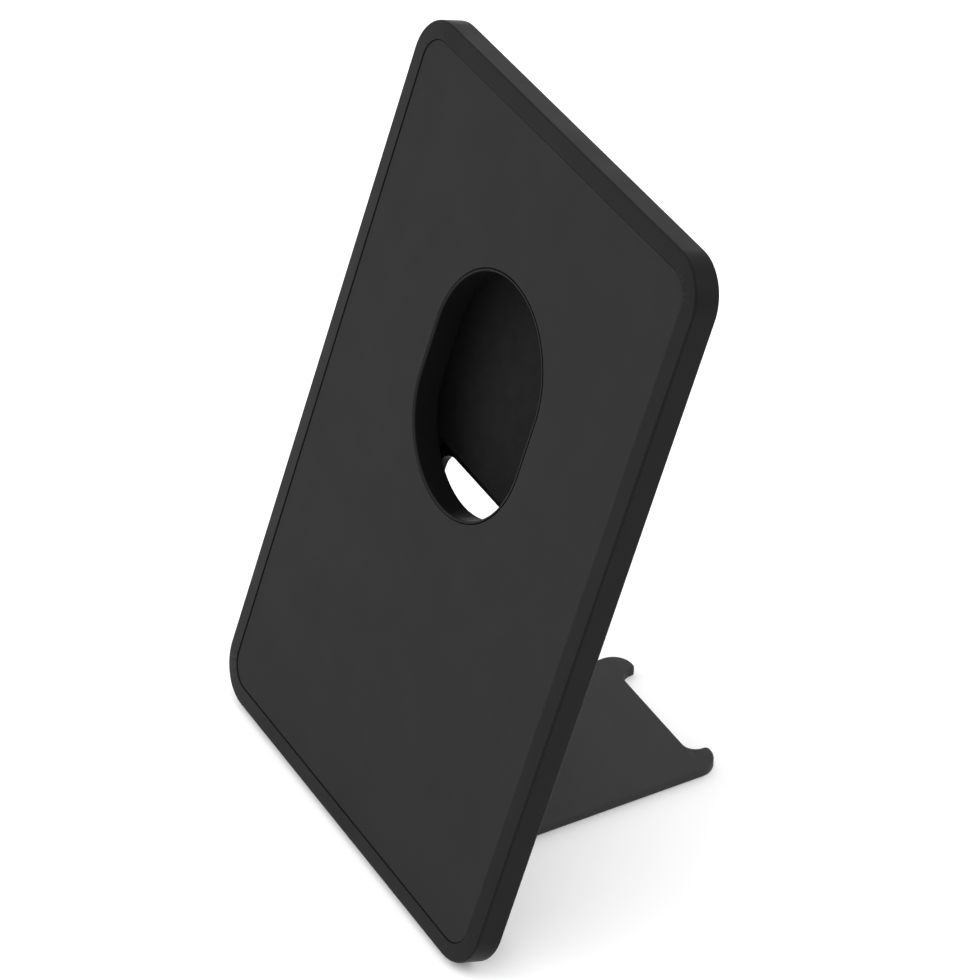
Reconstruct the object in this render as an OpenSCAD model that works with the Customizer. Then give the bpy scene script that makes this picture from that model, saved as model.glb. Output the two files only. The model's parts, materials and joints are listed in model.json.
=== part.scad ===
// Phone stand with a card pocket and a fold-out leg.
//
// The stand is drawn open: the slab leans back on its lower edge, and the leg lies flat on the table
// behind it. X runs across the slab, Y from front to back and Z up. The origin is on the table, below
// the middle of the whole stand.
//
// Slab pieces are drawn upright, with Y as the depth behind the front face and Z as the height up the
// slab, and lean back together. Leg pieces are drawn about the hinge pin, with Y along the leg.

/* [Slab] */
// Width of the slab
slab_w = 70; // [66:1:80]
// Height of the slab, along its face
slab_h = 103.6; // [101:0.2:120]
// Thickness of the slab, without the card pocket
slab_t = 3.8; // [3.6:0.1:5]
// Radius of the slab's corners
slab_corner_r = 6.3; // [4.5:0.1:9]
// Chamfer around the slab's front and back edges
edge_break = 0.35; // [0.15:0.05:0.6]
// Angle by which the slab leans back from upright
lean_back = 18.6; // [12:0.2:26]

/* [Pad] */
// Width of the rim around the pad
rim_w = 2.5; // [1.5:0.1:3.5]
// Thickness of the pad
pad_t = 0.8; // [0.5:0.05:1.2]
// Thickness of the adhesive film under the pad
adhesive_t = 0.15; // [0.1:0.05:0.3]
// Depth of the pad's face below the rim
pad_inset = 0.1; // [0:0.05:0.3]
// Gap around the pad's edge
pad_gap = 0.15; // [0.05:0.05:0.4]

/* [Thumb hole] */
// Width of the thumb hole
hole_w = 25; // [20:0.2:30]
// Height of the thumb hole, along the slab
hole_h = 32.7; // [31:0.1:40]
// Height of the thumb hole's centre, along the slab
hole_v = 65.9; // [60:0.1:70]
// Width of the raised lip around the thumb hole
lip_w = 0.3; // [0.2:0.1:1]

/* [Magnets] */
// Outer radius of the magnet ring
ring_outer_r = 27; // [26:0.5:29]
// Width of the magnet ring's band
ring_band = 4.5; // [3.5:0.1:5]
// Number of arc magnets in the ring
arc_count = 16; // [12:2:24]
// Gap between neighbouring arc magnets, as an angle
arc_gap = 2; // [1:0.5:4]
// Thickness of the magnets
magnet_t = 1.3; // [1:0.1:1.5]
// Thickness of the steel behind the magnets
yoke_t = 0.4; // [0.2:0.05:0.5]
// Clearance around the magnets
magnet_clear = 0.1; // [0.05:0.05:0.2]
// Width of the alignment magnet
bar_w = 4.4; // [3:0.2:6]
// Length of the alignment magnet
bar_h = 17; // [10:1:20]
// Gap between the ring and the alignment magnet below it
bar_gap = 1.5; // [1:0.1:3]

/* [Card pocket] */
// Width of a card
card_w = 54; // [52:0.5:55]
// Height of a card
card_h = 85.6; // [80:0.2:86]
// Side clearance of a card in the pocket
card_clear = 0.3; // [0.2:0.1:0.6]
// Depth of the pocket between the slab and the back panel
pocket_depth = 4.5; // [4:0.1:6]
// Height of the pocket's mouth above a card's edge
mouth_cover = 2; // [0.5:0.5:3]
// Thickness of the card shield
shield_t = 0.2; // [0.1:0.05:0.4]
// Thickness of the pocket's lining
lining_t = 0.3; // [0.2:0.05:0.6]
// Thickness of the strips that grip the cards
grip_t = 0.7; // [0.4:0.1:1]
// Length of the strips that grip the cards
grip_w = 14; // [8:1:18]
// Height of the strips that grip the cards
grip_h = 3; // [2:0.1:4]
// Distance from the pocket's mouth down to the strips
grip_drop = 4; // [2:0.5:8]
// Margin around the card shield and the lining
sheet_margin = 0.8; // [0.5:0.1:1.5]

/* [Back shell] */
// Thickness of the back panel
panel_t = 1.5; // [1.4:0.1:3]
// Thickness of the shell's side walls
wall_t = 1.2; // [1:0.1:2.5]
// Radius of the shell's corners, seen from behind
shell_corner_r = 5; // [3:0.5:8]
// Rounding around the shell's back edge
shell_round = 2.4; // [0.5:0.1:2.5]
// Gap between the shell's lower edge and the table
foot_gap = 0.15; // [0.1:0.05:0.5]

/* [Leg] */
// Width of the leg
leg_w = 27; // [26:0.2:32]
// Length of the leg from the hinge pin to its horns
leg_reach = 42.6; // [38:0.2:46]
// Thickness of the leg
leg_t = 1.4; // [1.2:0.1:1.8]
// Depth of the recess between the horns
recess_depth = 2.7; // [1.5:0.1:4]
// Width of each horn at its root
horn_w = 3.9; // [3.4:0.1:6]
// Radius of the horns' outer corners
horn_r = 3; // [2:0.1:3]
// Radius of the horns' inner tips
horn_tip_r = 0.6; // [0.3:0.1:0.8]
// Fillet between the recess and the horns
recess_fillet = 2.1; // [0.5:0.1:3]
// Gap on each side of the leg in its window
leg_gap = 0.3; // [0.25:0.05:0.8]
// Gap between the folded leg's horns and the window's top edge
finger_gap = 3.6; // [2:0.1:6]
// Radius of the window's upper corners
window_r = 3.1; // [1:0.1:6]

/* [Hinge] */
// Radius of the hinge pin
pin_r = 0.75; // [0.6:0.05:0.9]
// Running clearance around the hinge pin
pin_clear = 0.05; // [0.02:0.01:0.1]
// Thickness of the spring leaf
leaf_t = 0.5; // [0.3:0.05:0.6]
// Distance from the middle of the leg to the outer end of a curl
curl_end_x = 8; // [7:0.1:8.5]
// Width of each curl of the spring leaf
curl_w = 4.4; // [3:0.1:6]
// Length of the spring leaf beyond the hinge pin
leaf_reach = 10; // [8.5:0.1:14]
// Thickness of the washers
washer_t = 0.3; // [0.2:0.05:0.5]
// Radius of the washers
washer_r = 1.35; // [1.2:0.05:1.4]
// Clearance between pieces side by side on the hinge pin
side_clear = 0.05; // [0.03:0.01:0.1]
// Thickness of the bracket's base and ears
bracket_t = 0.9; // [0.7:0.05:1]
// Height of the bracket's base below the hinge pin
base_below = 2.3; // [1.8:0.1:2.5]
// Height of the bracket's base above the hinge pin
base_above = 4; // [3:0.1:5]
// Radius of the bracket's ears around the hinge pin
ear_r = 1.45; // [1.3:0.05:1.6]
// Clearance of the leg where it turns past a fixed piece
turn_clear = 0.25; // [0.15:0.05:0.4]
// Thickness of the bar that the cards stand on
floor_t = 1.4; // [1:0.1:2]

/* [Fasteners] */
// Distance from the edge of the leg's window to a bracket screw
bracket_screw_gap = 2.2; // [1.8:0.1:3]
// Distance from a bracket screw to the bracket's end
bracket_end = 1.8; // [1.5:0.1:2.5]
// Distance from the bracket's end to a shell screw
shell_screw_gap = 4.5; // [3:0.1:5]
// Radius of the screws' threads
screw_r = 0.8; // [0.7:0.05:0.9]
// Radius of the screws' heads
screw_head_r = 1.45; // [1.3:0.05:1.6]
// Height of the screws' heads
screw_head_t = 0.7; // [0.5:0.05:0.9]
// Radius of the threaded inserts
insert_r = 1.3; // [1.1:0.05:1.5]
// Length of the threaded inserts
insert_len = 3; // [2:0.1:3.5]
// Radius of the rivets' shanks
rivet_r = 0.6; // [0.5:0.05:0.8]
// Radius of the rivets' heads
rivet_head_r = 1.2; // [1:0.05:1.4]
// Thickness of the rivets' heads
rivet_head_t = 0.3; // [0.2:0.05:0.3]

/* [Hidden] */
$fn = 64;
hull_fn = 32; // facets of a circle inside a hull
past = 1; // how far a cutter runs past the face that it opens
slack = 0.1; // clearance of a piece that is seated in a pocket or slot
film = 0.05; // gap between two faces that nearly touch

// Depths behind the slab's front face
adhesive_d = pad_inset + pad_t;
tray_d = adhesive_d + adhesive_t;
yoke_d = tray_d + magnet_clear + magnet_t;
groove_d = yoke_d + yoke_t;
head_d = tray_d + film; // the screws' heads, under the pad
head_end = head_d + screw_head_t;
panel_d = slab_t + pocket_depth;
back_d = panel_d + panel_t;
lining_d = panel_d - lining_t;

// Hinge: the leg's underside is on the table and comes flush with the back panel when folded
bore_r = pin_r + pin_clear;
curl_r = bore_r + leaf_t;
leaf_seat = leaf_t + pin_clear / 2; // depth of the leaf's seat in the leg
pin_rise = leg_t - leaf_seat + curl_r; // height of the pin above the leg's underside
edge_lift = (slab_t - edge_break) * sin(lean_back); // lifts the slab's lowest edge onto the table
pin_d = back_d - pin_rise;
pin_v = (pin_rise - edge_lift + pin_d * sin(lean_back)) / cos(lean_back);
pin_y = pin_v * sin(lean_back) + pin_d * cos(lean_back);
fold_angle = 90 - lean_back;

// Pieces side by side along the hinge pin
washer_x = curl_end_x + side_clear;
ear_x = washer_x + washer_t + side_clear;
hub_x = ear_x + bracket_t + 2 * side_clear;
pin_set_back = 1; // from the leg's side to the end of the pin
pin_half = leg_w / 2 - pin_set_back;
hub_r = ear_r; // the leg's hubs where they are cut back past the stop tabs
root_gap = 0.5;
root_y = max(ear_r, curl_r) + turn_clear + root_gap; // where the leg begins between its hubs

// Stops: flat faces that meet with the leg open
stop_v = 0.4; // height of the leg's stop faces above the pin, along the slab
stop_gap = 0.02; // gap left between the stops
stop_w = 1; // width of a stop tab, along the slab
stop_x = hub_x + turn_clear;
stop_len = leg_w / 2 - stop_x - turn_clear;

// Bracket, pocket floor and screws
window_half = leg_w / 2 + leg_gap;
bracket_screw_x = window_half + bracket_screw_gap;
bracket_half = bracket_screw_x + bracket_end;
bracket_v0 = pin_v - base_below;
bracket_v1 = pin_v + base_above;
bracket_screw_v = (bracket_v0 + bracket_v1) / 2;
shell_screw_x = bracket_half + shell_screw_gap;
shell_screw_v = bracket_v1 - insert_r;
floor_gap = 0.9; // between the bracket and the pocket floor
floor_v = bracket_v1 + floor_gap;
card_v = floor_v + floor_t;
floor_seat = 2; // how far the pocket floor reaches into the shell on each side

// Back shell
pocket_half = card_w / 2 + card_clear;
shell_half = pocket_half + wall_t;
shell_v0 = (foot_gap + shell_round - edge_lift + (back_d - shell_round) * sin(lean_back)) / cos(lean_back)
    - shell_round;
shell_v1 = card_v + card_h + mouth_cover;
window_v = pin_v + leg_reach + finger_gap;
tab_t = wall_t / 2; // the shell's tabs, which are glued into slots in the slab
tab_len = 8;
tab_depth = 1.2;
tab_vs = [window_v - 2 * tab_len, shell_v1 - tab_len]; // the tabs' middles, along the slab

// Recess between the horns, and the rivets of the spring leaf
recess_half = leg_w / 2 - horn_w;
rivet_edge = rivet_head_r + 1; // from a rivet to the leaf's edges
rivet_sink = film + rivet_head_t; // depth of a rivet's lower head
rivet_hole_r = rivet_r + film;

// The whole stand's middle, from front to back
front_y = edge_break * sin(lean_back);
tip_y = pin_y + leg_reach;
mid_y = (front_y + tip_y) / 2;

// ---------------------------------------------------------------- placing

// Leans the slab's pieces back onto their lower edge
module leaned() {
    translate([0, -mid_y, edge_lift]) rotate([-lean_back, 0, 0]) children();
}

// Carries the leg's pieces from the hinge pin to their place
module at_pin() {
    translate([0, pin_y - mid_y, pin_rise]) children();
}

// Raises a flat shape, drawn across and up the slab, between two depths
module sheet(from, to) {
    translate([0, to, 0]) rotate([90, 0, 0]) linear_extrude(to - from) children();
}

// Turns a side profile, drawn in Y and Z, into a bar along X
module bar_x(from, to) {
    translate([from, 0, 0]) rotate([90, 0, 90]) linear_extrude(to - from) children();
}

module both_sides() {
    children();
    mirror([1, 0, 0]) children();
}

// A round shaft or cutter along the depth
module shaft(r, from, to) {
    translate([0, to, 0]) rotate([90, 0, 0]) cylinder(r = r, h = to - from);
}

// ---------------------------------------------------------------- outlines

module rounded_rect(half_w, v0, v1, r) {
    translate([-half_w, v0 + r]) square([2 * half_w, v1 - v0 - 2 * r]);
    translate([-half_w + r, v0]) square([2 * (half_w - r), v1 - v0]);
    for (x = [-half_w + r, half_w - r], v = [v0 + r, v1 - r]) translate([x, v]) circle(r);
}

// Outline of the thumb hole, grown by a margin
module hole_outline(grow = 0) {
    r = hole_w / 2 + grow;
    straight = hole_h - hole_w;
    translate([-r, hole_v - straight / 2]) square([2 * r, straight]);
    for (side = [-1, 1]) translate([0, hole_v + side * straight / 2]) circle(r);
}

// Outline of the slab, drawn in from its edge
module slab_outline(inset) {
    rounded_rect(slab_w / 2 - inset, inset, slab_h - inset, slab_corner_r - inset);
}

module pad_outline(gap) {
    difference() {
        slab_outline(rim_w + gap);
        hole_outline(lip_w + gap);
    }
}

// The leg's window in the back panel, open at the bottom
module window_outline() {
    r = window_r;
    translate([-window_half, -past]) square([2 * window_half, window_v - r + past]);
    translate([-window_half + r, -past]) square([2 * (window_half - r), window_v + past]);
    for (side = [-1, 1]) translate([side * (window_half - r), window_v - r]) circle(r);
}

// Band around the pocket's inner faces, set back from its edges
module pocket_outline(edge) {
    translate([-pocket_half + edge, card_v + edge])
        square([2 * (pocket_half - edge), card_h + mouth_cover - 2 * edge]);
}

module grip_outline(clear) {
    for (side = [-1, 1])
        translate([side * pocket_half / 2 - grip_w / 2 - clear, shell_v1 - grip_drop - grip_h - clear])
            square([grip_w + 2 * clear, grip_h + 2 * clear]);
}

// ---------------------------------------------------------------- slab

module slab_blank() {
    hull() {
        sheet(0, slab_t) slab_outline(edge_break, $fn = hull_fn);
        sheet(edge_break, slab_t - edge_break) slab_outline(0, $fn = hull_fn);
    }
}

// Screw in the slab's floor, with its flat head under the pad
module screw(length) {
    shaft(screw_head_r, head_d, head_end);
    shaft(screw_r, head_end, head_d + length);
}

module screw_hole() {
    shaft(screw_head_r + slack, tray_d - past, head_end);
    shaft(screw_r + slack, tray_d, slab_t + past);
}

module at_bracket_screws() {
    both_sides() translate([bracket_screw_x, 0, bracket_screw_v]) children();
}

module at_shell_screws() {
    both_sides() translate([shell_screw_x, 0, shell_screw_v]) children();
}

// The tabs that hold the shell's side walls, or the slots for them
module wall_tabs(clear) {
    x = pocket_half + (wall_t - tab_t) / 2;
    both_sides()
        for (v = tab_vs)
            translate([x - clear, slab_t - tab_depth - clear, v - tab_len / 2 - clear])
                cube([tab_t + 2 * clear, tab_depth + 2 * clear, tab_len + 2 * clear]);
}

// The magnet ring's band, or the groove for it
module ring(grow, from, to) {
    translate([0, 0, hole_v]) difference() {
        shaft(ring_outer_r + grow, from, to);
        shaft(ring_outer_r - ring_band - grow, from - past, to + past);
    }
}

module bar_block(grow, from, to) {
    translate([-bar_w / 2 - grow, from, hole_v - ring_outer_r - bar_gap - bar_h - grow])
        cube([bar_w + 2 * grow, to - from, bar_h + 2 * grow]);
}

module front_frame() {
    color([0.17, 0.17, 0.18]) leaned() difference() {
        slab_blank();
        sheet(-past, tray_d) difference() {
            slab_outline(rim_w);
            hole_outline(lip_w);
        }
        sheet(-past, pad_inset) hole_outline(lip_w);
        sheet(-past, slab_t + past) hole_outline();
        ring(magnet_clear, tray_d - past, groove_d);
        bar_block(magnet_clear, tray_d - past, groove_d);
        at_bracket_screws() screw_hole();
        at_shell_screws() screw_hole();
        wall_tabs(slack);
    }
}

module front_pad() {
    color([0.22, 0.22, 0.225]) leaned() sheet(pad_inset, adhesive_d) pad_outline(pad_gap);
}

module pad_adhesive() {
    color([0.75, 0.72, 0.6]) leaned() sheet(adhesive_d, tray_d) pad_outline(2 * pad_gap);
}

module ring_magnets() {
    arc = 360 / arc_count - arc_gap;
    color([0.72, 0.72, 0.74]) leaned()
        translate([0, yoke_d, hole_v]) rotate([90, 0, 0])
            for (i = [0 : arc_count - 1])
                rotate(i * 360 / arc_count)
                    rotate_extrude(angle = arc)
                        translate([ring_outer_r - ring_band, 0]) square([ring_band, magnet_t]);
}

module ring_yoke() {
    color([0.5, 0.5, 0.52]) leaned() ring(0, yoke_d, groove_d);
}

module alignment_magnet() {
    color([0.72, 0.72, 0.74]) leaned() bar_block(0, yoke_d - magnet_t, yoke_d);
}

module alignment_yoke() {
    color([0.5, 0.5, 0.52]) leaned() bar_block(0, yoke_d, groove_d);
}

// ---------------------------------------------------------------- card pocket

module card_shield() {
    color([0.55, 0.55, 0.57]) leaned() sheet(slab_t, slab_t + shield_t) difference() {
        pocket_outline(sheet_margin);
        hole_outline(sheet_margin);
    }
}

module pocket_lining() {
    color([0.12, 0.12, 0.13]) leaned() sheet(lining_d, panel_d) difference() {
        pocket_outline(sheet_margin);
        lining_window();
        grip_outline(slack);
    }
}

// The window, grown by the margin that the lining keeps from its edge
module lining_window() {
    half = window_half + sheet_margin;
    translate([-half, -past]) square([2 * half, window_v + sheet_margin + past]);
}

module card_grips() {
    color([0.3, 0.3, 0.31]) leaned() sheet(panel_d - grip_t, panel_d) grip_outline(0);
}

module pocket_floor() {
    half = window_half + floor_seat;
    color([0.2, 0.2, 0.21]) leaned()
        translate([-half, slab_t, floor_v]) cube([2 * half, pocket_depth, floor_t]);
}

// ---------------------------------------------------------------- back shell

module shell_outline(inset) {
    rounded_rect(shell_half - inset, shell_v0 + inset, shell_v1 - inset, shell_corner_r - inset);
}

module shell_blank() {
    hull() {
        for (a = [0, 30, 60, 90])
            sheet(slab_t, back_d - shell_round * (1 - sin(a)))
                shell_outline(shell_round * (1 - cos(a)), $fn = hull_fn);
    }
}

// Room in the shell for the bracket's wing and the end of its screw
module wing_room() {
    translate([0, slab_t - past, bracket_v0 - slack])
        cube([bracket_half + slack, bracket_t + slack + past, bracket_v1 - bracket_v0 + 2 * slack]);
}

module back_shell() {
    color([0.15, 0.15, 0.16]) leaned() {
        difference() {
            shell_blank();
            translate([-pocket_half, slab_t - past, card_v])
                cube([2 * pocket_half, pocket_depth + past, slab_h]);
            sheet(slab_t - past, back_d + past) window_outline();
            both_sides() wing_room();
            both_sides() translate([0, slab_t - past, floor_v - slack])
                cube([window_half + floor_seat + slack, pocket_depth + slack + past, floor_t + slack]);
            at_shell_screws() {
                shaft(insert_r, slab_t - past, slab_t + insert_len);
                shaft(screw_r + slack, slab_t, slab_t + insert_len + screw_r);
            }
        }
        wall_tabs(0);
    }
}

module shell_inserts() {
    color([0.78, 0.62, 0.3]) leaned() at_shell_screws() difference() {
        shaft(insert_r, slab_t, slab_t + insert_len);
        shaft(screw_r, slab_t - past, slab_t + insert_len + past);
    }
}

module shell_screws() {
    color([0.6, 0.6, 0.62]) leaned() at_shell_screws() screw(slab_t + insert_len - head_d);
}

module bracket_screws() {
    color([0.6, 0.6, 0.62]) leaned() at_bracket_screws() screw(slab_t + bracket_t - head_d);
}

// ---------------------------------------------------------------- hinge

// Side profile of an ear, from the bracket's base round the pin
module ear_profile() {
    translate([slab_t, pin_v - ear_r]) square([pin_d - slab_t, 2 * ear_r]);
    translate([pin_d, pin_v]) circle(ear_r);
}

module hinge_bracket() {
    height = bracket_v1 - bracket_v0;
    tab_top = pin_d - hub_r - turn_clear;
    color([0.62, 0.63, 0.65]) leaned() difference() {
        union() {
            translate([-bracket_half, slab_t, bracket_v0]) cube([2 * bracket_half, bracket_t, height]);
            both_sides() {
                bar_x(ear_x, ear_x + bracket_t) ear_profile();
                translate([stop_x, slab_t, pin_v + stop_v + stop_gap])
                    cube([stop_len, tab_top - slab_t, stop_w]);
            }
        }
        both_sides() bar_x(ear_x - past, ear_x + bracket_t + slack)
            translate([pin_d, pin_v]) circle(pin_r);
        at_bracket_screws() shaft(screw_r, slab_t - past, slab_t + bracket_t + past);
    }
}

module hinge_pin() {
    color([0.75, 0.75, 0.77]) at_pin() bar_x(-pin_half, pin_half) circle(pin_r);
}

module hinge_washers() {
    color([0.7, 0.7, 0.72]) at_pin() both_sides() bar_x(washer_x, washer_x + washer_t) difference() {
        circle(washer_r);
        circle(bore_r);
    }
}

// ---------------------------------------------------------------- leg

// Plan of the leg, seen from above, with its horns and the recess between them
module leg_plan() {
    tip = leg_reach;
    floor_y = tip - recess_depth;
    side_x = leg_w / 2 - horn_r;
    difference() {
        union() {
            translate([-leg_w / 2, root_y]) square([leg_w, tip - horn_r - root_y]);
            translate([-side_x, root_y]) square([2 * side_x, tip - root_y]);
            for (side = [-1, 1]) translate([side * side_x, tip - horn_r]) circle(horn_r);
        }
        recess_cutter(floor_y, tip);
        for (side = [-1, 1]) translate([side * recess_half, tip]) horn_tip_corner(side);
    }
}

// The recess, with a fillet on each side of its floor
module recess_cutter(floor_y, tip) {
    r = min(recess_fillet, recess_depth - horn_tip_r);
    translate([-recess_half + r, floor_y]) square([2 * (recess_half - r), recess_depth + past]);
    translate([-recess_half, floor_y + r]) square([2 * recess_half, recess_depth - r + past]);
    for (side = [-1, 1]) translate([side * (recess_half - r), floor_y + r]) circle(r);
}

// What the rounding of a horn's inner tip takes away
module horn_tip_corner(side) {
    r = horn_tip_r;
    difference() {
        translate([side > 0 ? -past : -r, -r]) square([r + past, r + past]);
        translate([side * r, -r]) circle(r);
    }
}

// Side profile of a hub: round under the pin, cut back above it as far as the stop faces
module hub_profile() {
    circle(hub_r);
    intersection() {
        circle(pin_rise);
        rotate(fold_angle) translate([-2 * pin_rise, -2 * pin_rise])
            square([2 * pin_rise + stop_v, 4 * pin_rise]);
    }
    translate([0, -pin_rise]) square([root_y + past, leg_t]);
}

module leg_plate() {
    color([0.24, 0.24, 0.25]) at_pin() difference() {
        union() {
            translate([0, 0, -pin_rise]) linear_extrude(leg_t) leg_plan();
            both_sides() bar_x(hub_x, leg_w / 2) hub_profile();
        }
        bar_x(-leg_w, leg_w) circle(bore_r);
        translate([-curl_end_x - slack, 0, leg_t - pin_rise - leaf_seat])
            cube([2 * (curl_end_x + slack), leaf_reach + slack, leg_t]);
        at_rivets() translate([0, 0, -pin_rise - past]) {
            cylinder(r = rivet_hole_r, h = leg_t + 2 * past);
            cylinder(r = rivet_head_r + slack, h = rivet_sink + past);
        }
    }
}

module at_rivets() {
    for (x = [-1, 0, 1] * (curl_end_x - rivet_edge))
        translate([x, leaf_reach - rivet_edge, 0]) children();
}

module hinge_leaf() {
    leaf_z = -curl_r;
    color([0.66, 0.67, 0.69]) at_pin() difference() {
        union() {
            both_sides() bar_x(curl_end_x - curl_w, curl_end_x) {
                circle(curl_r);
                translate([0, leaf_z]) square([root_y + past, leaf_t]);
            }
            translate([-curl_end_x, root_y, leaf_z]) cube([2 * curl_end_x, leaf_reach - root_y, leaf_t]);
        }
        bar_x(-leg_w, leg_w) circle(bore_r);
        at_rivets() translate([0, 0, leaf_z - past]) cylinder(r = rivet_hole_r, h = leaf_t + 2 * past);
    }
}

module leaf_rivets() {
    color([0.7, 0.7, 0.72]) at_pin() at_rivets() {
        translate([0, 0, -pin_rise + film]) cylinder(r = rivet_r, h = leg_t);
        translate([0, 0, -pin_rise + film]) cylinder(r = rivet_head_r, h = rivet_head_t);
        translate([0, 0, -curl_r + leaf_t]) cylinder(r = rivet_head_r, h = rivet_head_t);
    }
}

front_frame();
front_pad();
pad_adhesive();
ring_magnets();
ring_yoke();
alignment_magnet();
alignment_yoke();
card_shield();
pocket_lining();
card_grips();
pocket_floor();
back_shell();
shell_inserts();
shell_screws();
bracket_screws();
hinge_bracket();
hinge_pin();
hinge_washers();
leg_plate();
hinge_leaf();
leaf_rivets();
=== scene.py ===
# %% [markdown]
# # A phone stand with a fold-out leg
#
# This notebook dresses a phone stand. The stand is a flat slab that leans back on its lower edge,
# with a soft pad on its face, an oblong thumb hole, a thin card pocket behind it and a leg that
# folds out of the pocket's back panel. The parts that can be seen are modelled again here with soft
# edges, because a real moulding never has a perfectly sharp one, and every part gets a material.

# %% Load the frame
import json
import math

import bmesh
import bpy
from mathutils import Matrix, Vector


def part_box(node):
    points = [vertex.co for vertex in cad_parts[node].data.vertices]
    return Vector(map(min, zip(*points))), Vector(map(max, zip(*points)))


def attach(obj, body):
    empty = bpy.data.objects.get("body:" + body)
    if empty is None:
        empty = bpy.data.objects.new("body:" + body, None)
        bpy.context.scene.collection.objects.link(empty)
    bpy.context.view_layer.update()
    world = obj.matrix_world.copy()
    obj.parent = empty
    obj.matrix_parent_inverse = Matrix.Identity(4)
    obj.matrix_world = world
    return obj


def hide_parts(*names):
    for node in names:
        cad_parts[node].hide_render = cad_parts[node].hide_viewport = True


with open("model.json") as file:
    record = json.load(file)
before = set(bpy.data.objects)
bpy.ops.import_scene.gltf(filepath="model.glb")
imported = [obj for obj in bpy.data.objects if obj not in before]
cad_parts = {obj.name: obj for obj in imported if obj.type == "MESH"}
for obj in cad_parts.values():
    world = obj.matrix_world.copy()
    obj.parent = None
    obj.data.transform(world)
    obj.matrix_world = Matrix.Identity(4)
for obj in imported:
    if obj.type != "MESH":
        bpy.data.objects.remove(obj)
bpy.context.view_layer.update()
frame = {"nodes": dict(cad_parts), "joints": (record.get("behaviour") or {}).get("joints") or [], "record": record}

MM = 0.001
NEAR = 0.01 * MM         # two places closer than this count as one

# %% [markdown]
# ## Finding the slab
#
# Everything on the slab is square to the slab, not to the table, so it would be tiresome to model it
# in place. The pieces are modelled upright and then tilted back as a whole. The tilt follows from the
# leg's joint: the leg folds up into the back panel, so the slab leans by what is missing to 90 degrees.
# A node's vertices, turned upright in the same way, give its real width, depth and height.

# %% Measure the CAD nodes upright
fold = frame["joints"][0]
LEAN = math.radians(90 - fold["range_deg"][1])
PIN = Vector(fold["pos_m"])


def turned(node):
    """A node's vertices, with the slab turned upright."""
    turn = Matrix.Rotation(LEAN, 3, "X")
    return [turn @ v.co for v in frame["nodes"][node].data.vertices]


def corners(spots):
    """Lowest and highest corner of a set of points."""
    return (Vector(min(p[i] for p in spots) for i in range(3)),
            Vector(max(p[i] for p in spots) for i in range(3)))


def upright(node, test=lambda p: True):
    """The corners of a node's vertices that pass the test, with the slab upright."""
    return corners([p for p in turned(node) if test(p)])


slab_low, slab_high = upright("front_frame")
pad_low, pad_high = upright("front_pad")
FRONT, BACK = slab_low.y, slab_high.y
FOOT, TOP = slab_low.z, slab_high.z
print("slab: %.1f x %.1f x %.1f mm" % tuple((slab_high - slab_low) / MM))

# The hole's edge is what lies on the back face near the middle, well above the screws.
third = FOOT + (TOP - FOOT) / 3
HOLE_SEARCH_HALF, HOLE_SEARCH_TOP = 14 * MM, TOP - 12 * MM
hole_low, hole_high = upright("front_frame", lambda p: abs(p.x) < HOLE_SEARCH_HALF
                              and p.y > BACK - NEAR and third < p.z < HOLE_SEARCH_TOP)
HOLE_R = hole_high.x
HOLE_Z = (hole_low.z + hole_high.z) / 2
HOLE_STRAIGHT = hole_high.z - hole_low.z - 2 * HOLE_R
print("thumb hole: %.1f x %.1f mm" % (2 * HOLE_R / MM, (hole_high.z - hole_low.z) / MM))

# %% [markdown]
# ## Camera
#
# A long lens from well back keeps the slab's edges almost parallel. The camera looks down at the
# stand's right side, far enough round to show how thin it is.

# %% Camera
AIM = Vector((-13.60, 4.94, 36.42)) * MM
AZIMUTH, ELEVATION = math.radians(61.3), math.radians(36.95)
DISTANCE = 0.6995
SENSOR_MM, LENS_MM = 36, 195.1
back = Vector((math.sin(AZIMUTH) * math.cos(ELEVATION),
               -math.cos(AZIMUTH) * math.cos(ELEVATION), math.sin(ELEVATION)))
bpy.ops.object.camera_add(location=AIM + back * DISTANCE)
camera = bpy.context.object
camera.name = "Camera"
camera.rotation_mode = "QUATERNION"
camera.rotation_quaternion = (-back).to_track_quat("-Z", "Y")
camera.data.sensor_width = SENSOR_MM
camera.data.lens = LENS_MM
camera.data.clip_start, camera.data.clip_end = 0.01, 50
bpy.context.scene.camera = camera

# %% [markdown]
# ## Tools for modelling
#
# An operator acts on whatever is selected, so each helper first clears the selection and then selects
# by place. `block` and `rod` are only starting shapes. `cut` and `join` use the Boolean modifier, which
# is how a cutter on a milling machine would be imitated. `soften` bevels chosen edges.

# %% Modelling helpers
SHARP_CREASE = 25        # degrees between two faces; a flatter edge isn't bevelled
SMOOTH_CREASE = 35       # degrees; a flatter edge is shaded smooth
DOUBLES = 0.001 * MM


def only(obj):
    """Makes obj the one selected and active object, in object mode."""
    if bpy.context.object and bpy.context.object.mode != "OBJECT":
        bpy.ops.object.mode_set(mode="OBJECT")
    bpy.ops.object.select_all(action="DESELECT")
    obj.select_set(True)
    bpy.context.view_layer.objects.active = obj


def settle(obj):
    """Puts the object's place into its mesh."""
    only(obj)
    bpy.ops.object.transform_apply(location=True, rotation=True, scale=True)
    return obj


def block(low, high, name="block"):
    """A box between two opposite corners."""
    low, high = Vector(low), Vector(high)
    bpy.ops.object.select_all(action="DESELECT")
    bpy.ops.mesh.primitive_cube_add(size=1, location=(low + high) / 2)
    obj = bpy.context.object
    obj.name = name
    obj.scale = high - low
    return settle(obj)


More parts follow.
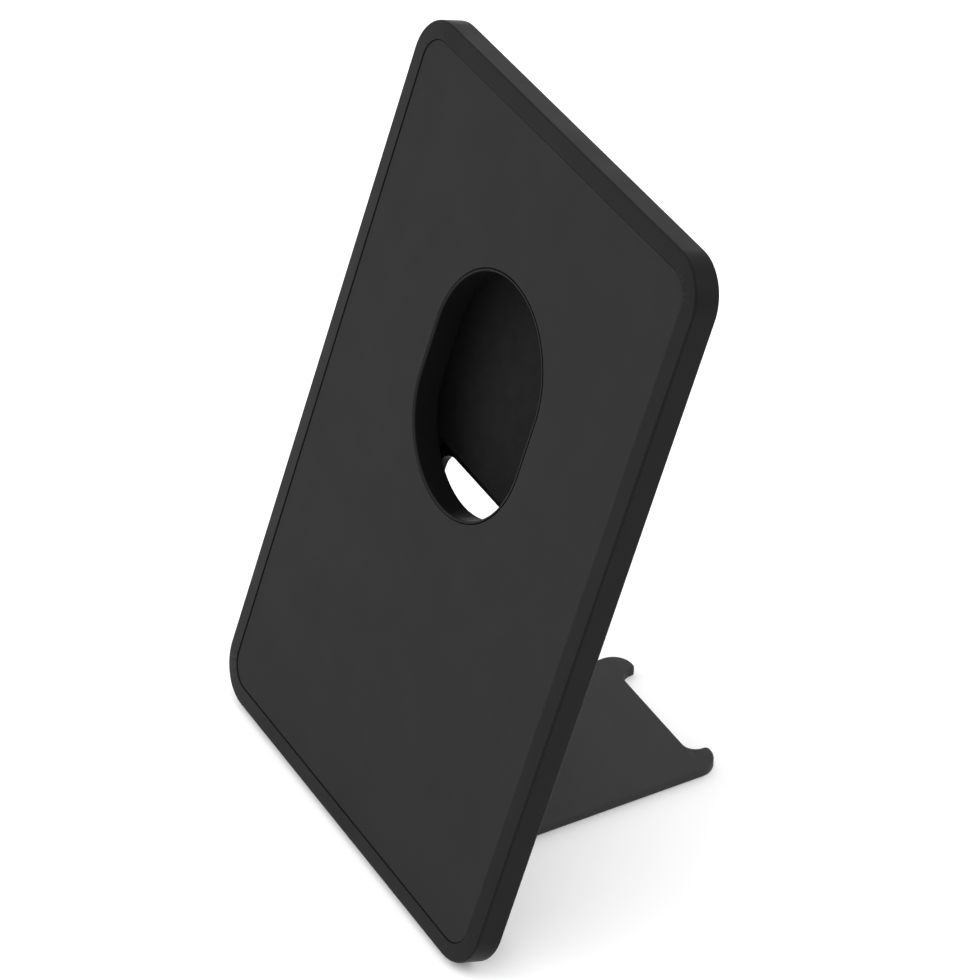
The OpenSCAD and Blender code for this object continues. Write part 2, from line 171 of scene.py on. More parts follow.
def rod(radius, start, end, sides=64, name="rod"):
    """A round bar between two points that differ along one axis."""
    start, end = Vector(start), Vector(end)
    along = end - start
    bpy.ops.object.select_all(action="DESELECT")
    bpy.ops.mesh.primitive_cylinder_add(vertices=sides, radius=radius, depth=along.length,
                                        location=(start + end) / 2)
    obj = bpy.context.object
    obj.name = name
    obj.rotation_mode = "QUATERNION"
    obj.rotation_quaternion = along.to_track_quat("Z", "Y")
    return settle(obj)


def edit(obj, mode):
    """Goes into edit mode with nothing selected, and gives the mesh that is being edited."""
    only(obj)
    bpy.ops.object.mode_set(mode="EDIT")
    bpy.ops.mesh.select_mode(type=mode)
    bpy.ops.mesh.select_all(action="DESELECT")
    return bmesh.from_edit_mesh(obj.data)


def pick(obj, mode, test):
    """Selects, in edit mode, what passes the test, and gives how many that is."""
    mesh = edit(obj, mode)
    things = {"VERT": mesh.verts, "EDGE": mesh.edges, "FACE": mesh.faces}[mode]
    chosen = [t for t in things if test(t)]
    for t in chosen:
        t.select_set(True)
    mesh.select_flush_mode()
    bmesh.update_edit_mesh(obj.data)
    return len(chosen)


def leave():
    bpy.ops.object.mode_set(mode="OBJECT")


def apply_modifier(obj, kind, **values):
    """Adds a modifier with the given settings and makes its result the mesh."""
    only(obj)
    bpy.ops.object.modifier_add(type=kind)
    mod = obj.modifiers[-1]
    for key, value in values.items():
        setattr(mod, key, value)
    bpy.ops.object.modifier_apply(modifier=mod.name)


def combine(obj, tool, operation):
    apply_modifier(obj, "BOOLEAN", object=tool, operation=operation, solver="EXACT")
    bpy.data.objects.remove(tool)
    return obj


def cut(obj, tool):
    return combine(obj, tool, "DIFFERENCE")


def join(obj, tool):
    return combine(obj, tool, "UNION")


def crease(edge):
    """The angle between an edge's two faces, in degrees."""
    return math.degrees(edge.calc_face_angle(0)) if len(edge.link_faces) == 2 else 0


def soften(obj, test, width, segments=3):
    """Bevels the sharp edges that pass the test. The test is given both ends of the edge."""
    count = pick(obj, "EDGE", lambda e: crease(e) > SHARP_CREASE and test(e.verts[0].co, e.verts[1].co))
    if count:
        bpy.ops.mesh.bevel(offset=width, segments=segments, profile=0.5, affect="EDGES")
    leave()
    print("%s: softened %d edges by %.2f mm" % (obj.name, count, width / MM))


def both(a, b, test):
    """True where both ends of an edge pass the test."""
    return test(a) and test(b)


def tidy(obj):
    """Merges doubles and makes triangles, then shades the piece smooth with its large faces flat."""
    edit(obj, "VERT")
    bpy.ops.mesh.select_all(action="SELECT")
    bpy.ops.mesh.remove_doubles(threshold=DOUBLES)
    bpy.ops.mesh.quads_convert_to_tris(quad_method="BEAUTY", ngon_method="BEAUTY")
    leave()
    only(obj)
    bpy.ops.object.shade_smooth_by_angle(angle=math.radians(SMOOTH_CREASE))
    apply_modifier(obj, "WEIGHTED_NORMAL", keep_sharp=True, weight=80)


def lean_back(obj):
    """Tilts a piece that was modelled upright to where the slab leans."""
    obj.rotation_mode = "XYZ"
    obj.rotation_euler = (-LEAN, 0, 0)
    return settle(obj)


def hand_over(obj, name, body, slot, nodes):
    """Names a finished piece, gives it its slot's material and fixes it to its body."""
    obj.name = obj.data.name = name
    obj.data.materials.clear()
    obj.data.materials.append(MATERIALS[slot])
    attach(obj, body)
    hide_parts(*nodes)
    print("%s: %d faces" % (name, len(obj.data.polygons)))
    return obj


# %% [markdown]
# ## Shared effects for the materials
#
# Moulded plastic, silicone and powder coat all have a fine skin that breaks up the light. One node
# group makes that grain, and each material sets its own size and depth. A second group makes the
# faint cloudy patches that handling leaves, which change the gloss more than the colour.

# %% Node groups


def new_group(name, inputs, outputs):
    """An empty node group with the given sockets, and its nodes for what comes in and goes out."""
    group = bpy.data.node_groups.new(name, "ShaderNodeTree")
    for label, kind, value in inputs:
        socket = group.interface.new_socket(name=label, in_out="INPUT", socket_type=kind)
        socket.default_value = value
    for label, kind in outputs:
        group.interface.new_socket(name=label, in_out="OUTPUT", socket_type=kind)
    return group, group.nodes.new("NodeGroupInput"), group.nodes.new("NodeGroupOutput")


def add_node(tree, kind, **values):
    """A node with the given settings. What isn't a setting of the node is one of its inputs."""
    node = tree.nodes.new(kind)
    for key, value in values.items():
        if hasattr(node, key):
            setattr(node, key, value)
        else:
            node.inputs[key.replace("_", " ")].default_value = value
    return node


FLOAT = "NodeSocketFloat"


def make_grain():
    """Grain of a moulded or coated skin. Its size is in grains per metre."""
    tree, given, out = new_group("skin_grain", [("Scale", FLOAT, 4000.0), ("Mix", FLOAT, 0.5)],
                                 [("Height", FLOAT)])
    where = tree.nodes.new("ShaderNodeTexCoord")
    fine = add_node(tree, "ShaderNodeTexNoise", Detail=3.0, Roughness=0.6)
    pits = add_node(tree, "ShaderNodeTexVoronoi", feature="SMOOTH_F1", Smoothness=0.6)
    mix = add_node(tree, "ShaderNodeMix", data_type="FLOAT")
    for texture in (fine, pits):
        tree.links.new(where.outputs["Object"], texture.inputs["Vector"])
        tree.links.new(given.outputs["Scale"], texture.inputs["Scale"])
    tree.links.new(given.outputs["Mix"], mix.inputs[0])
    tree.links.new(fine.outputs[0], mix.inputs[2])
    tree.links.new(pits.outputs["Distance"], mix.inputs[3])
    tree.links.new(mix.outputs[0], out.inputs["Height"])
    return tree


def make_patches():
    """Cloudy patches between a low and a high value, broken up by finer specks."""
    tree, given, out = new_group("handling", [("Scale", FLOAT, 60.0), ("Low", FLOAT, 0.4),
                                              ("High", FLOAT, 0.5)], [("Value", FLOAT)])
    where = tree.nodes.new("ShaderNodeTexCoord")
    cloud = add_node(tree, "ShaderNodeTexNoise", Detail=4.0, Roughness=0.55)
    spread = add_node(tree, "ShaderNodeMapRange", From_Min=0.3, From_Max=0.7)
    tree.links.new(where.outputs["Object"], cloud.inputs["Vector"])
    tree.links.new(given.outputs["Scale"], cloud.inputs["Scale"])
    tree.links.new(cloud.outputs[0], spread.inputs["Value"])
    tree.links.new(given.outputs["Low"], spread.inputs["To Min"])
    tree.links.new(given.outputs["High"], spread.inputs["To Max"])
    tree.links.new(spread.outputs[0], out.inputs["Value"])
    return tree


def make_brushing():
    """Long fine lines along one axis of the object, as a brush or a rolling mill leaves."""
    tree, given, out = new_group("brushing", [("Scale", FLOAT, 3000.0),
                                              ("Stretch", "NodeSocketVector", (0.02, 1.0, 1.0))],
                                 [("Height", FLOAT)])
    where = tree.nodes.new("ShaderNodeTexCoord")
    squeeze = add_node(tree, "ShaderNodeVectorMath", operation="MULTIPLY")
    lines = add_node(tree, "ShaderNodeTexNoise", Detail=2.0)
    tree.links.new(where.outputs["Object"], squeeze.inputs[0])
    tree.links.new(given.outputs["Stretch"], squeeze.inputs[1])
    tree.links.new(squeeze.outputs[0], lines.inputs["Vector"])
    tree.links.new(given.outputs["Scale"], lines.inputs["Scale"])
    tree.links.new(lines.outputs[0], out.inputs["Height"])
    return tree


GRAIN, PATCHES, BRUSHING = make_grain(), make_patches(), make_brushing()

# %% [markdown]
# ## Materials
#
# Black is never quite black. A dark part shows mostly what it reflects, so its gloss matters more than
# its colour. Each material below is a Principled shader whose colour, gloss and surface come from the
# groups: the colour drifts a little, the gloss is patchy, and the grain bends the light.

# %% Materials
GLOSS_PATCH = 2.3        # the gloss changes over shorter ways than the colour
METAL_GRAIN, METAL_PATCH = 2500.0, 150.0
METAL_RELIEF = 0.004 * MM


def use_group(tree, group, **values):
    """A node that stands for a group, with its inputs set."""
    node = tree.nodes.new("ShaderNodeGroup")
    node.node_tree = group
    for key, value in values.items():
        node.inputs[key].default_value = value
    return node


def finish(name, dark, light, rough, relief, grain, specular=0.5, metallic=0.0, patch=60.0,
           brushed=None, mix=0.4, **extra):
    """A material whose colour drifts from dark to light, with patchy gloss and a fine relief."""
    material = bpy.data.materials.new(name)
    material.use_nodes = True
    tree = material.node_tree
    shader = tree.nodes["Principled BSDF"]
    shader.inputs["Specular IOR Level"].default_value = specular
    shader.inputs["Metallic"].default_value = metallic
    for key, value in extra.items():
        shader.inputs[key.replace("_", " ")].default_value = value
    drift = use_group(tree, PATCHES, Scale=patch, Low=0.0, High=1.0)
    colour = add_node(tree, "ShaderNodeMix", data_type="RGBA")
    colour.inputs[6].default_value = (*dark, 1)
    colour.inputs[7].default_value = (*light, 1)
    tree.links.new(drift.outputs["Value"], colour.inputs[0])
    tree.links.new(colour.outputs[2], shader.inputs["Base Color"])
    gloss = use_group(tree, PATCHES, Scale=patch * GLOSS_PATCH, Low=rough[0], High=rough[1])
    tree.links.new(gloss.outputs["Value"], shader.inputs["Roughness"])
    if brushed:
        skin = use_group(tree, BRUSHING, Scale=grain, Stretch=brushed)
    else:
        skin = use_group(tree, GRAIN, Scale=grain, Mix=mix)
    bump = add_node(tree, "ShaderNodeBump", Strength=1.0, Distance=relief)
    tree.links.new(skin.outputs["Height"], bump.inputs["Height"])
    tree.links.new(bump.outputs["Normal"], shader.inputs["Normal"])
    return material


def grey(value, warm=0.0):
    """A grey, drawn towards red by warm."""
    return (value * (1 + warm), value, value * (1 - warm))


def metal(name, tone, rough, brushed=(0.03, 1.0, 1.0), warm=0.0):
    """A bare metal. brushed stretches its lines along the axis with the smallest number."""
    return finish(name, grey(tone * 0.9, warm), grey(tone, warm), rough, METAL_RELIEF, METAL_GRAIN,
                  metallic=1.0, brushed=brushed, patch=METAL_PATCH)


MATERIALS = {
    "frame_plastic": finish("frame_plastic", grey(0.0046), grey(0.0056), (0.42, 0.50),
                            0.010 * MM, 3500.0, specular=0.085),
    "pad_rubber": finish("pad_rubber", grey(0.0120), grey(0.0130), (0.62, 0.68),
                         0.008 * MM, 5000.0, specular=0.10, mix=0.2),
    "shell_plastic": finish("shell_plastic", grey(0.0040), grey(0.0052), (0.44, 0.54),
                            0.012 * MM, 3200.0, specular=0.10),
    "floor_plastic": finish("floor_plastic", grey(0.010), grey(0.012), (0.45, 0.55),
                            0.012 * MM, 3200.0, specular=0.12),
    "leg_coating": finish("leg_coating", grey(0.0250), grey(0.0280), (0.48, 0.58),
                          0.014 * MM, 2600.0, specular=0.12, mix=0.3),
    "lining_fabric": finish("lining_fabric", grey(0.005), grey(0.0075), (0.88, 0.96),
                            0.030 * MM, 9000.0, specular=0.08, patch=400.0, Sheen_Weight=0.06),
    "grip_silicone": finish("grip_silicone", grey(0.035), grey(0.042), (0.55, 0.65),
                            0.010 * MM, 4000.0, specular=0.2),
    "adhesive_film": finish("adhesive_film", (0.42, 0.37, 0.27), (0.50, 0.45, 0.33), (0.35, 0.5),
                            0.010 * MM, 1800.0),
    "magnet_nickel": metal("magnet_nickel", 0.62, (0.16, 0.24), brushed=(1.0, 1.0, 1.0), warm=0.04),
    "yoke_steel": metal("yoke_steel", 0.42, (0.34, 0.46)),
    "shield_steel": metal("shield_steel", 0.20, (0.44, 0.48), brushed=(1.0, 0.03, 0.03)),
    "insert_brass": finish("insert_brass", (0.62, 0.42, 0.14), (0.74, 0.52, 0.20), (0.25, 0.36),
                           0.006 * MM, 2500.0, metallic=1.0, brushed=(1.0, 0.03, 1.0)),
    "screw_steel": metal("screw_steel", 0.46, (0.28, 0.40), brushed=(1.0, 1.0, 1.0)),
    "bracket_steel": metal("bracket_steel", 0.40, (0.34, 0.46)),
    "pin_steel": metal("pin_steel", 0.58, (0.18, 0.28), brushed=(1.0, 0.05, 0.05)),
    "washer_steel": metal("washer_steel", 0.5, (0.28, 0.38), brushed=(0.05, 1.0, 1.0)),
    "leaf_steel": metal("leaf_steel", 0.46, (0.26, 0.38), brushed=(1.0, 0.03, 1.0)),
    "rivet_metal": metal("rivet_metal", 0.55, (0.26, 0.36), brushed=(1.0, 1.0, 1.0)),
}

for part in frame["record"]["subparts"]:
    node = frame["nodes"][part["node"]]
    node.data.materials.clear()
    node.data.materials.append(MATERIALS[part["material_slot"]])
print("materials:", len(MATERIALS))

# %% [markdown]
# ## An oblong
#
# The thumb hole, its lip and the pad's cut-out share one outline: a circle pulled apart along the slab.
# A cylinder whose upper half is moved up and lower half down gives it, whatever its radius.

# %% Oblong tool
ROUND_SIDES = 128


def oblong(radius, near, far):
    """An oblong bar round the thumb hole's middle, from one depth to another."""
    bpy.ops.object.select_all(action="DESELECT")
    bpy.ops.mesh.primitive_cylinder_add(vertices=ROUND_SIDES, radius=radius, depth=far - near,
                                        location=(0, (near + far) / 2, HOLE_Z),
                                        rotation=(math.pi / 2, math.pi / ROUND_SIDES, 0))
    obj = settle(bpy.context.object)
    obj.name = "oblong"
    for side in (1, -1):
        pick(obj, "VERT", lambda v: (v.co.z - HOLE_Z) * side > 0)
        bpy.ops.transform.translate(value=(0, 0, side * HOLE_STRAIGHT / 2))
        leave()
    return obj


# %% [markdown]
# ## Front frame
#
# The slab is one moulding: a thin plate with round corners, a shallow tray that the pad lies in, and
# an oblong hole with a low lip round it. It starts as a block. Its four corner edges are bevelled to
# the corner radius, and the front face is inset by the rim's width. The rim falls a little towards the
# outside, so the outline is moved back before the inner face is pushed in to make the tray.

# %% Front frame
CORNER_R = 6.3 * MM
RIM = 2.5 * MM
RIM_FALL = 0.2 * MM
LIP = 0.3 * MM
EDGE = 0.3 * MM
FINE_EDGE = 0.1 * MM
LIP_EDGE = 0.2 * MM
ADHESIVE = 0.15 * MM
BACK_SKIN = 0.5 * MM
TRAY = pad_high.y + ADHESIVE
PAST = 1.0 * MM          # how far a cutter reaches past what it cuts
BEYOND = 5 * MM          # the same, where there is nothing else in its way
SLACK = 0.1 * MM         # room round a piece in its seat
OUTLINE_NEAR, HOLE_NEAR = 0.06 * MM, 0.05 * MM


def along_depth(a, b):
    """True for an edge that runs from the front to the back."""
    return abs((a - b).normalized().y) > 0.99


def at_depth(y):
    """A test for the edges that lie at one depth."""
    return lambda a, b: both(a, b, lambda p: abs(p.y - y) < NEAR)


def on_outline(p):
    """True where a point lies on the slab's outline."""
    x = max(abs(p.x) - (slab_high.x - CORNER_R), 0)
    z = max(abs(p.z - (TOP + FOOT) / 2) - ((TOP - FOOT) / 2 - CORNER_R), 0)
    return abs(math.hypot(x, z) - CORNER_R) < OUTLINE_NEAR


def make_frame():
    slab = block(slab_low, slab_high, "front_frame_shell")
    soften(slab, along_depth, CORNER_R, 20)
    pick(slab, "FACE", lambda f: f.normal.y < -0.9)
    bpy.ops.mesh.inset(thickness=RIM, depth=0)
    bpy.ops.mesh.extrude_region_move(TRANSFORM_OT_translate={"value": (0, TRAY - FRONT, 0)})
    leave()
    pick(slab, "VERT", lambda v: v.co.y < FRONT + NEAR and on_outline(v.co))
    bpy.ops.transform.translate(value=(0, RIM_FALL, 0))
    leave()
    return slab


front_frame = make_frame()

# %% Round the rim's edges
soften(front_frame, lambda a, b: at_depth(FRONT + RIM_FALL)(a, b) and both(a, b, on_outline), EDGE, 4)
soften(front_frame, lambda a, b: at_depth(BACK)(a, b) and both(a, b, on_outline), EDGE, 4)
soften(front_frame, at_depth(FRONT), FINE_EDGE, 3)

# %% [markdown]
# The hole, its lip and the seats under the pad are cut next: a groove for the ring of magnets, a pocket
# for the alignment magnet, and a stepped hole for each screw. Nobody sees them, but they keep the
# pieces of the model from running through each other. Their sizes are read off the CAD nodes.

# %% Thumb hole and lip


def in_hole(p):
    """True where a point is no further from the hole's middle than its edge."""
    up = max(abs(p.z - HOLE_Z) - HOLE_STRAIGHT / 2, 0)
    return math.hypot(p.x, up) < HOLE_R + HOLE_NEAR


join(front_frame, oblong(HOLE_R + LIP, pad_low.y, BACK - BACK_SKIN))
cut(front_frame, oblong(HOLE_R, FRONT - PAST, BACK + PAST))
soften(front_frame, lambda a, b: at_depth(pad_low.y)(a, b) and both(a, b, in_hole), LIP_EDGE, 4)
soften(front_frame, lambda a, b: at_depth(BACK)(a, b) and both(a, b, in_hole), EDGE, 4)

# %% Seats under the pad
HEAD_RIM = 0.9           # what lies further out than this share of the head's radius is its rim


def ring_room():
    """The groove for the ring of magnets and its yoke."""
    spots = turned("ring_yoke")
    radii = [math.hypot(p.x, p.z - HOLE_Z) for p in spots]
    floor = max(p.y for p in spots)
    room = rod(max(radii) + SLACK, (0, TRAY - PAST, HOLE_Z), (0, floor, HOLE_Z), ROUND_SIDES)
    core = rod(min(radii) - SLACK, (0, FRONT - PAST, HOLE_Z), (0, floor + PAST, HOLE_Z), ROUND_SIDES)
    return cut(room, core)


def screw_rooms(node):
    """For each screw of a pair: a wide hole for its head and a narrow one for its shank."""
    rooms = []
    for side in (1, -1):
        spots = [p for p in turned(node) if p.x * side > 0]
        low, high = corners(spots)
        x, z, head_r = (low.x + high.x) / 2, (low.z + high.z) / 2, (high.x - low.x) / 2
        away = [(math.hypot(p.x - x, p.z - z), p.y) for p in spots]
        head_end = max(y for r, y in away if r > HEAD_RIM * head_r)
        shank_r = max(r for r, y in away if y > high.y - NEAR)
        rooms.append(rod(head_r + SLACK, (x, TRAY - PAST, z), (x, head_end, z)))
        rooms.append(rod(shank_r + SLACK, (x, TRAY, z), (x, BACK + PAST, z)))
    return rooms


bar_low, bar_high = upright("alignment_yoke")
cut(front_frame, ring_room())
cut(front_frame, block((bar_low.x - SLACK, TRAY - PAST, bar_low.z - SLACK),
                       (bar_high.x + SLACK, bar_high.y, bar_high.z + SLACK)))
for tool in screw_rooms("bracket_screws") + screw_rooms("shell_screws"):
    cut(front_frame, tool)
tidy(front_frame)
lean_back(front_frame)
hand_over(front_frame, "front_frame_moulding", "stand", "frame_plastic", ["front_frame"])

# %% [markdown]
# ## Pad
#
# The pad is a flat sheet of silicone, glued into the tray with a hair's breadth of room around it.
# The soft edge swells a little when it is pressed in, so the sheet is grown by half of its gap. What is
# left reads as a thin dark line. Both of its edges are rounded a little to catch the light.

# %% Pad
GAP = slab_high.x - pad_high.x - RIM
SWELL = GAP / 2
PAD_CORNER_R = CORNER_R - RIM - GAP + SWELL


def make_pad():
    swell = Vector((SWELL, 0, SWELL))
    pad = block(pad_low - swell, pad_high + swell, "pad")
    soften(pad, along_depth, PAD_CORNER_R, 16)
    cut(pad, oblong(HOLE_R + LIP + GAP, FRONT - PAST, BACK))
    soften(pad, at_depth(pad_low.y), FINE_EDGE, 3)
    tidy(pad)
    lean_back(pad)
    hand_over(pad, "front_pad_sheet", "stand", "pad_rubber", ["front_pad"])


make_pad()

# %% [markdown]
# ## Back shell
#
# Behind the slab is a shallow box, open at the top, that the cards slide into. It too is one moulding:
# a block with round corners and a generously rounded back edge. The window that the leg folds up into
# is cut first, because its edge can then be rounded in one clean loop, and the cards' pocket after it.

# %% Back shell
shell_low, shell_high = upright("back_shell")
floor_low, floor_high = upright("pocket_floor")
lining_low, lining_high = upright("pocket_lining")
bracket_low, bracket_high = upright("hinge_bracket")
leg_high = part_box("leg_plate")[1]
ARCH_SEARCH_HALF, ARCH_SEARCH_TOP = 12 * MM, TOP - 25 * MM
arch_high = upright("back_shell", lambda p: abs(p.x) < ARCH_SEARCH_HALF
                    and p.y > lining_high.y - NEAR and third < p.z < ARCH_SEARCH_TOP)[1]
LINING_ROOM, LEG_ROOM = 0.8 * MM, 0.3 * MM
POCKET_HALF = lining_high.x + LINING_ROOM
WINDOW_HALF = leg_high.x + LEG_ROOM
WINDOW_TOP = arch_high.z
WINDOW_R, WINDOW_NEAR = 3.1 * MM, 0.02 * MM
SHELL_R, SHELL_ROUND = 5.0 * MM, 2.4 * MM
BRACKET_SEAT, INSERT_BORE = 1.0 * MM, 3.8 * MM
print("window: half %.2f mm, top %.2f mm up the slab" % (WINDOW_HALF / MM, (WINDOW_TOP - FOOT) / MM))


def make_shell():
    shell = block((-shell_high.x, BACK, shell_low.z), shell_high, "shell")
    soften(shell, along_depth, SHELL_R, 14)
    soften(shell, at_depth(shell_high.y), SHELL_ROUND, 8)
    window = block((-WINDOW_HALF, BACK - PAST, FOOT - BEYOND),
                   (WINDOW_HALF, shell_high.y + PAST, WINDOW_TOP))
    soften(window, lambda a, b: along_depth(a, b) and a.z > WINDOW_TOP - PAST, WINDOW_R, 10)
    return cut(shell, window)


def on_window(p):
    """True where a point lies on the window's wall, away from the slab."""
    x = max(abs(p.x) - (WINDOW_HALF - WINDOW_R), 0)
    z = max(p.z - (WINDOW_TOP - WINDOW_R), 0)
    return abs(math.hypot(x, z) - WINDOW_R) < WINDOW_NEAR and p.y > BACK + NEAR


back_shell = make_shell()
soften(back_shell, lambda a, b: both(a, b, on_window) and not along_depth(a, b), EDGE, 3)

# %% Pocket and seats in the shell
cut(back_shell, block((-POCKET_HALF, BACK - PAST, floor_high.z),
                      (POCKET_HALF, lining_high.y, TOP + BEYOND)))
cut(back_shell, block((-bracket_high.x - SLACK, BACK - PAST, bracket_low.z - SLACK),
                      (bracket_high.x + SLACK, BACK + BRACKET_SEAT, bracket_high.z + SLACK)))
cut(back_shell, block((-floor_high.x - SLACK, BACK - PAST, floor_low.z - SLACK),
                      (floor_high.x + SLACK, lining_high.y + SLACK, floor_high.z + SLACK)))
for side in (1, -1):
    insert_low, insert_high = upright("shell_inserts", lambda p: p.x * side > 0)
    x = (insert_high.x + insert_low.x) / 2
    z = (insert_high.z + insert_low.z) / 2
    cut(back_shell, rod(insert_high.x - x, (x, BACK - PAST, z), (x, BACK + INSERT_BORE, z)))
tidy(back_shell)
lean_back(back_shell)
hand_over(back_shell, "back_shell_moulding", "stand", "shell_plastic", ["back_shell"])

# %% [markdown]
# ## Pocket lining
#
# A thin microfibre cloth is glued to the back panel's inner face, so that cards slide over it without
# a scratch. It is cut out round the window and the two silicone strips. It is laid flat and can't
# fold, so it needs no simulation: a thin sheet and a slight nap are enough.

# %% Pocket lining
CLOTH_EDGE = 0.08 * MM
CLOTH_INSET = 0.8 * MM
grip_low, grip_high = upright("card_grips")
grip_inner = min(abs(p.x) for p in turned("card_grips"))


def make_lining():
    cloth = block(lining_low, lining_high, "lining")
    half = WINDOW_HALF + CLOTH_INSET
    cut(cloth, block((-half, lining_low.y - PAST, FOOT - PAST),
                     (half, lining_high.y + PAST, WINDOW_TOP + CLOTH_INSET)))
    for side in (1, -1):
        ends = sorted((side * (grip_inner - SLACK), side * (grip_high.x + SLACK)))
        cut(cloth, block((ends[0], lining_low.y - PAST, grip_low.z - SLACK),
                         (ends[1], lining_high.y + PAST, grip_high.z + SLACK)))
    soften(cloth, at_depth(lining_low.y), CLOTH_EDGE, 2)
    tidy(cloth)
    lean_back(cloth)
    return hand_over(cloth, "pocket_lining_cloth", "stand", "lining_fabric", ["pocket_lining"])


lining = make_lining()

# %% [markdown]
# ## Leg
#
# The leg is a stamped plate that lies flat on the table. Its far end has two blunt horns with a shallow
# recess between them, which a fingernail catches to fold it out. The plate is outlined first and its
# edges are rounded all the way round, and only then does it get its hubs.

# %% Leg plate
TIP = leg_high.y
LEG_T = 1.4 * MM
HORN_W, HORN_R = 3.9 * MM, 3.0 * MM
HORN_TIP_R = 0.6 * MM
RECESS, RECESS_R = 2.7 * MM, 2.0 * MM
LEG_TOP_EDGE, LEG_UNDER_EDGE = 0.18 * MM, 0.25 * MM
ROOT_REACH = 2.2 * MM
ROOT = PIN.y + ROOT_REACH


def upright_edge(a, b):
    """True for an edge that runs straight up."""
    return abs((a - b).normalized().z) > 0.99


def make_leg():
    half = leg_high.x
    leg = block((-half, ROOT, 0), (half, TIP, LEG_T), "leg")
    soften(leg, lambda a, b: upright_edge(a, b) and a.y > TIP - PAST, HORN_R, 16)
    recess = block((-half + HORN_W, TIP - RECESS, -PAST), (half - HORN_W, TIP + BEYOND, LEG_T + PAST))
    soften(recess, lambda a, b: upright_edge(a, b) and a.y < TIP, RECESS_R, 12)
    cut(leg, recess)
    soften(leg, lambda a, b: upright_edge(a, b) and a.y > TIP - NEAR
           and abs(abs(a.x) - half + HORN_W) < NEAR, HORN_TIP_R, 6)
    soften(leg, lambda a, b: both(a, b, lambda p: p.z > LEG_T - NEAR), LEG_TOP_EDGE, 3)
    soften(leg, lambda a, b: both(a, b, lambda p: p.z < NEAR), LEG_UNDER_EDGE, 3)
    return leg


leg = make_leg()

# %% [markdown]
# Near the slab the plate ends in two hubs that turn on the pin. Each is round under the pin and cut
# back above it to a flat face, which meets a stop on the bracket when the leg is open. A seat between
# the hubs takes the spring leaf, and three stepped holes in the underside take its rivets.

# %% Hubs and seats
leaf_low, leaf_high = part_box("hinge_leaf")
pin_low, pin_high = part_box("hinge_pin")
rivet_low, rivet_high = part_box("leaf_rivets")
HUB_X = 9.4 * MM
HUB_R = 1.45 * MM
HUB_SIDES, RIVET_SIDES = 96, 48
STOP_RISE = 0.4 * MM
PIN_ROOM, LEAF_ROOM = 0.05 * MM, 0.525 * MM
BORE_R = (pin_high.z - pin_low.z) / 2 + PIN_ROOM
SEAT_DEPTH = BORE_R + LEAF_ROOM
RIVET_SINK, RIVET_HOLE_R = 0.3 * MM, 0.65 * MM


def hub_blank(side):
    """A hub: round under the pin and cut back above it as far as the flat stop face."""
    ends = sorted((side * HUB_X, side * leg_high.x))
    near, far = (ends[0], PIN.y, PIN.z), (ends[1], PIN.y, PIN.z)
    heel = rod(PIN.z, near, far, HUB_SIDES, "heel")
    stop = lean_back(block((ends[0] - PAST, -BEYOND, STOP_RISE), (ends[1] + PAST, BEYOND, BEYOND)))
    stop.location = PIN
    settle(stop)
    cut(heel, stop)
    join(heel, rod(HUB_R, near, far, HUB_SIDES))
    return join(heel, block((ends[0], PIN.y, 0), (ends[1], ROOT + PAST, LEG_T)))


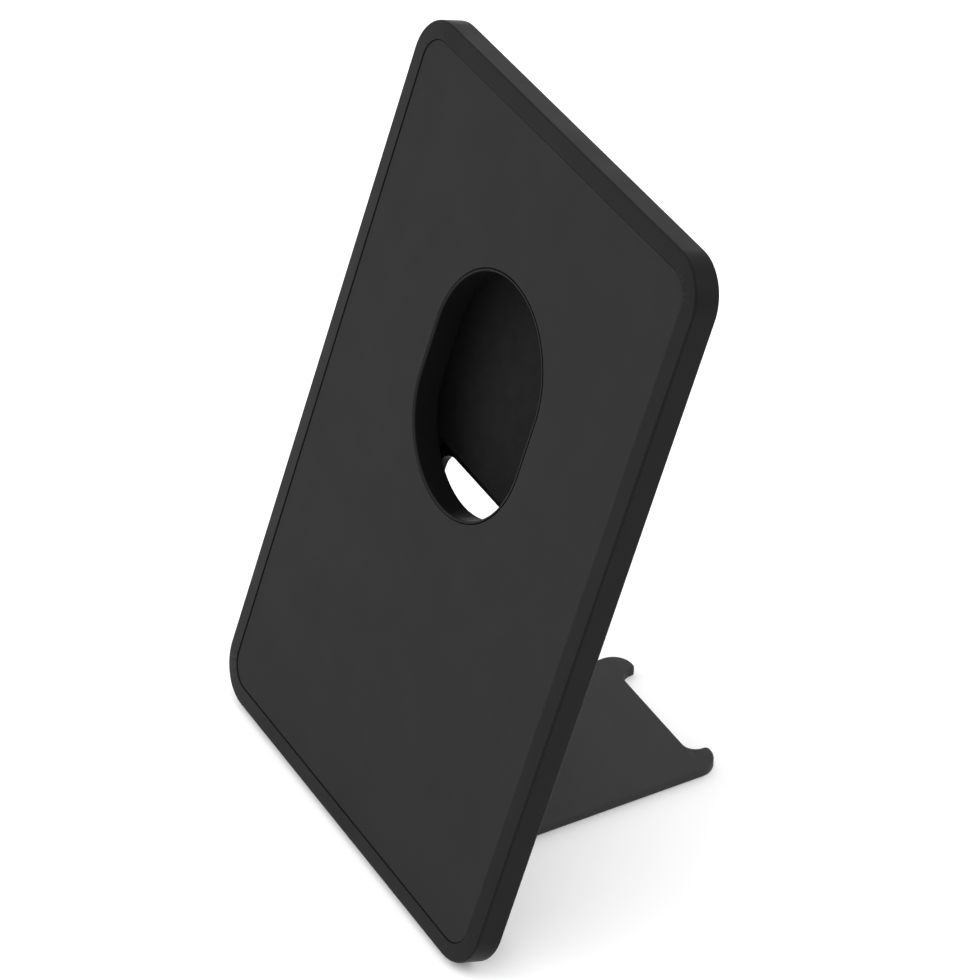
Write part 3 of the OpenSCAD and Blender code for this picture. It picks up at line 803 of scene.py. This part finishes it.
for side in (1, -1):
    join(leg, hub_blank(side))
cut(leg, rod(BORE_R, (-leg_high.x - PAST, PIN.y, PIN.z), (leg_high.x + PAST, PIN.y, PIN.z)))
cut(leg, block((leaf_low.x - SLACK, PIN.y, PIN.z - SEAT_DEPTH),
               (leaf_high.x + SLACK, leaf_high.y + SLACK, BEYOND)))
RIVET_HEAD_R = (rivet_high.y - rivet_low.y) / 2
RIVET_Y = (rivet_high.y + rivet_low.y) / 2
for x in (rivet_low.x + RIVET_HEAD_R, 0, rivet_high.x - RIVET_HEAD_R):
    bottom = (x, RIVET_Y, -PAST)
    cut(leg, rod(RIVET_HEAD_R + SLACK, bottom, (x, RIVET_Y, rivet_low.z + RIVET_SINK), RIVET_SIDES))
    cut(leg, rod(RIVET_HOLE_R, bottom, (x, RIVET_Y, LEG_T), RIVET_SIDES))
tidy(leg)
hand_over(leg, "leg_stamping", "leg", "leg_coating", ["leg_plate"])

# %% [markdown]
# ## Table and light
#
# A pale sheet under the stand and soft light are all that a product photograph needs. The big light
# from the left fills the face, a small one behind on the right draws the edges, and the world light
# keeps the shadows open.

# %% Table
TABLE_SIZE = 6.0
bpy.ops.object.select_all(action="DESELECT")
bpy.ops.mesh.primitive_plane_add(size=TABLE_SIZE, location=(0, 0, 0))
table = settle(bpy.context.object)
table.name = "table"
paper = bpy.data.materials.new("table_paper")
paper.use_nodes = True
paper_shader = paper.node_tree.nodes["Principled BSDF"]
paper_shader.inputs["Specular IOR Level"].default_value = 0.1
fibre = use_group(paper.node_tree, PATCHES, Scale=8.0, Low=0.93, High=0.95)
tint = paper.node_tree.nodes.new("ShaderNodeCombineColor")
for channel in range(3):
    paper.node_tree.links.new(fibre.outputs["Value"], tint.inputs[channel])
paper.node_tree.links.new(tint.outputs[0], paper_shader.inputs["Base Color"])
paper_shader.inputs["Roughness"].default_value = 0.9
table.data.materials.append(paper)

# %% Light
LIGHT_AIM = Vector((0, 0, 0.04))
WORLD_LIGHT = 1.30


def softbox(name, place, size, watts):
    """A soft square light that looks at the middle of the stand."""
    bpy.ops.object.light_add(type="AREA", location=place)
    lamp = bpy.context.object
    lamp.name = name
    lamp.data.shape = "RECTANGLE"
    lamp.data.size = lamp.data.size_y = size
    lamp.data.energy = watts
    lamp.rotation_mode = "QUATERNION"
    lamp.rotation_quaternion = (LIGHT_AIM - Vector(place)).to_track_quat("-Z", "Y")


softbox("key_softbox", (-0.50, -0.80, 0.90), 0.9, 5.0)
softbox("edge_softbox", (0.55, 0.55, 0.60), 0.5, 1.5)
world = bpy.data.worlds.new("studio")
bpy.context.scene.world = world
world.use_nodes = True
sky = world.node_tree.nodes["Background"]
sky.inputs["Color"].default_value = (1, 1, 1, 1)
sky.inputs["Strength"].default_value = WORLD_LIGHT
bpy.context.scene.view_settings.view_transform = "Standard"
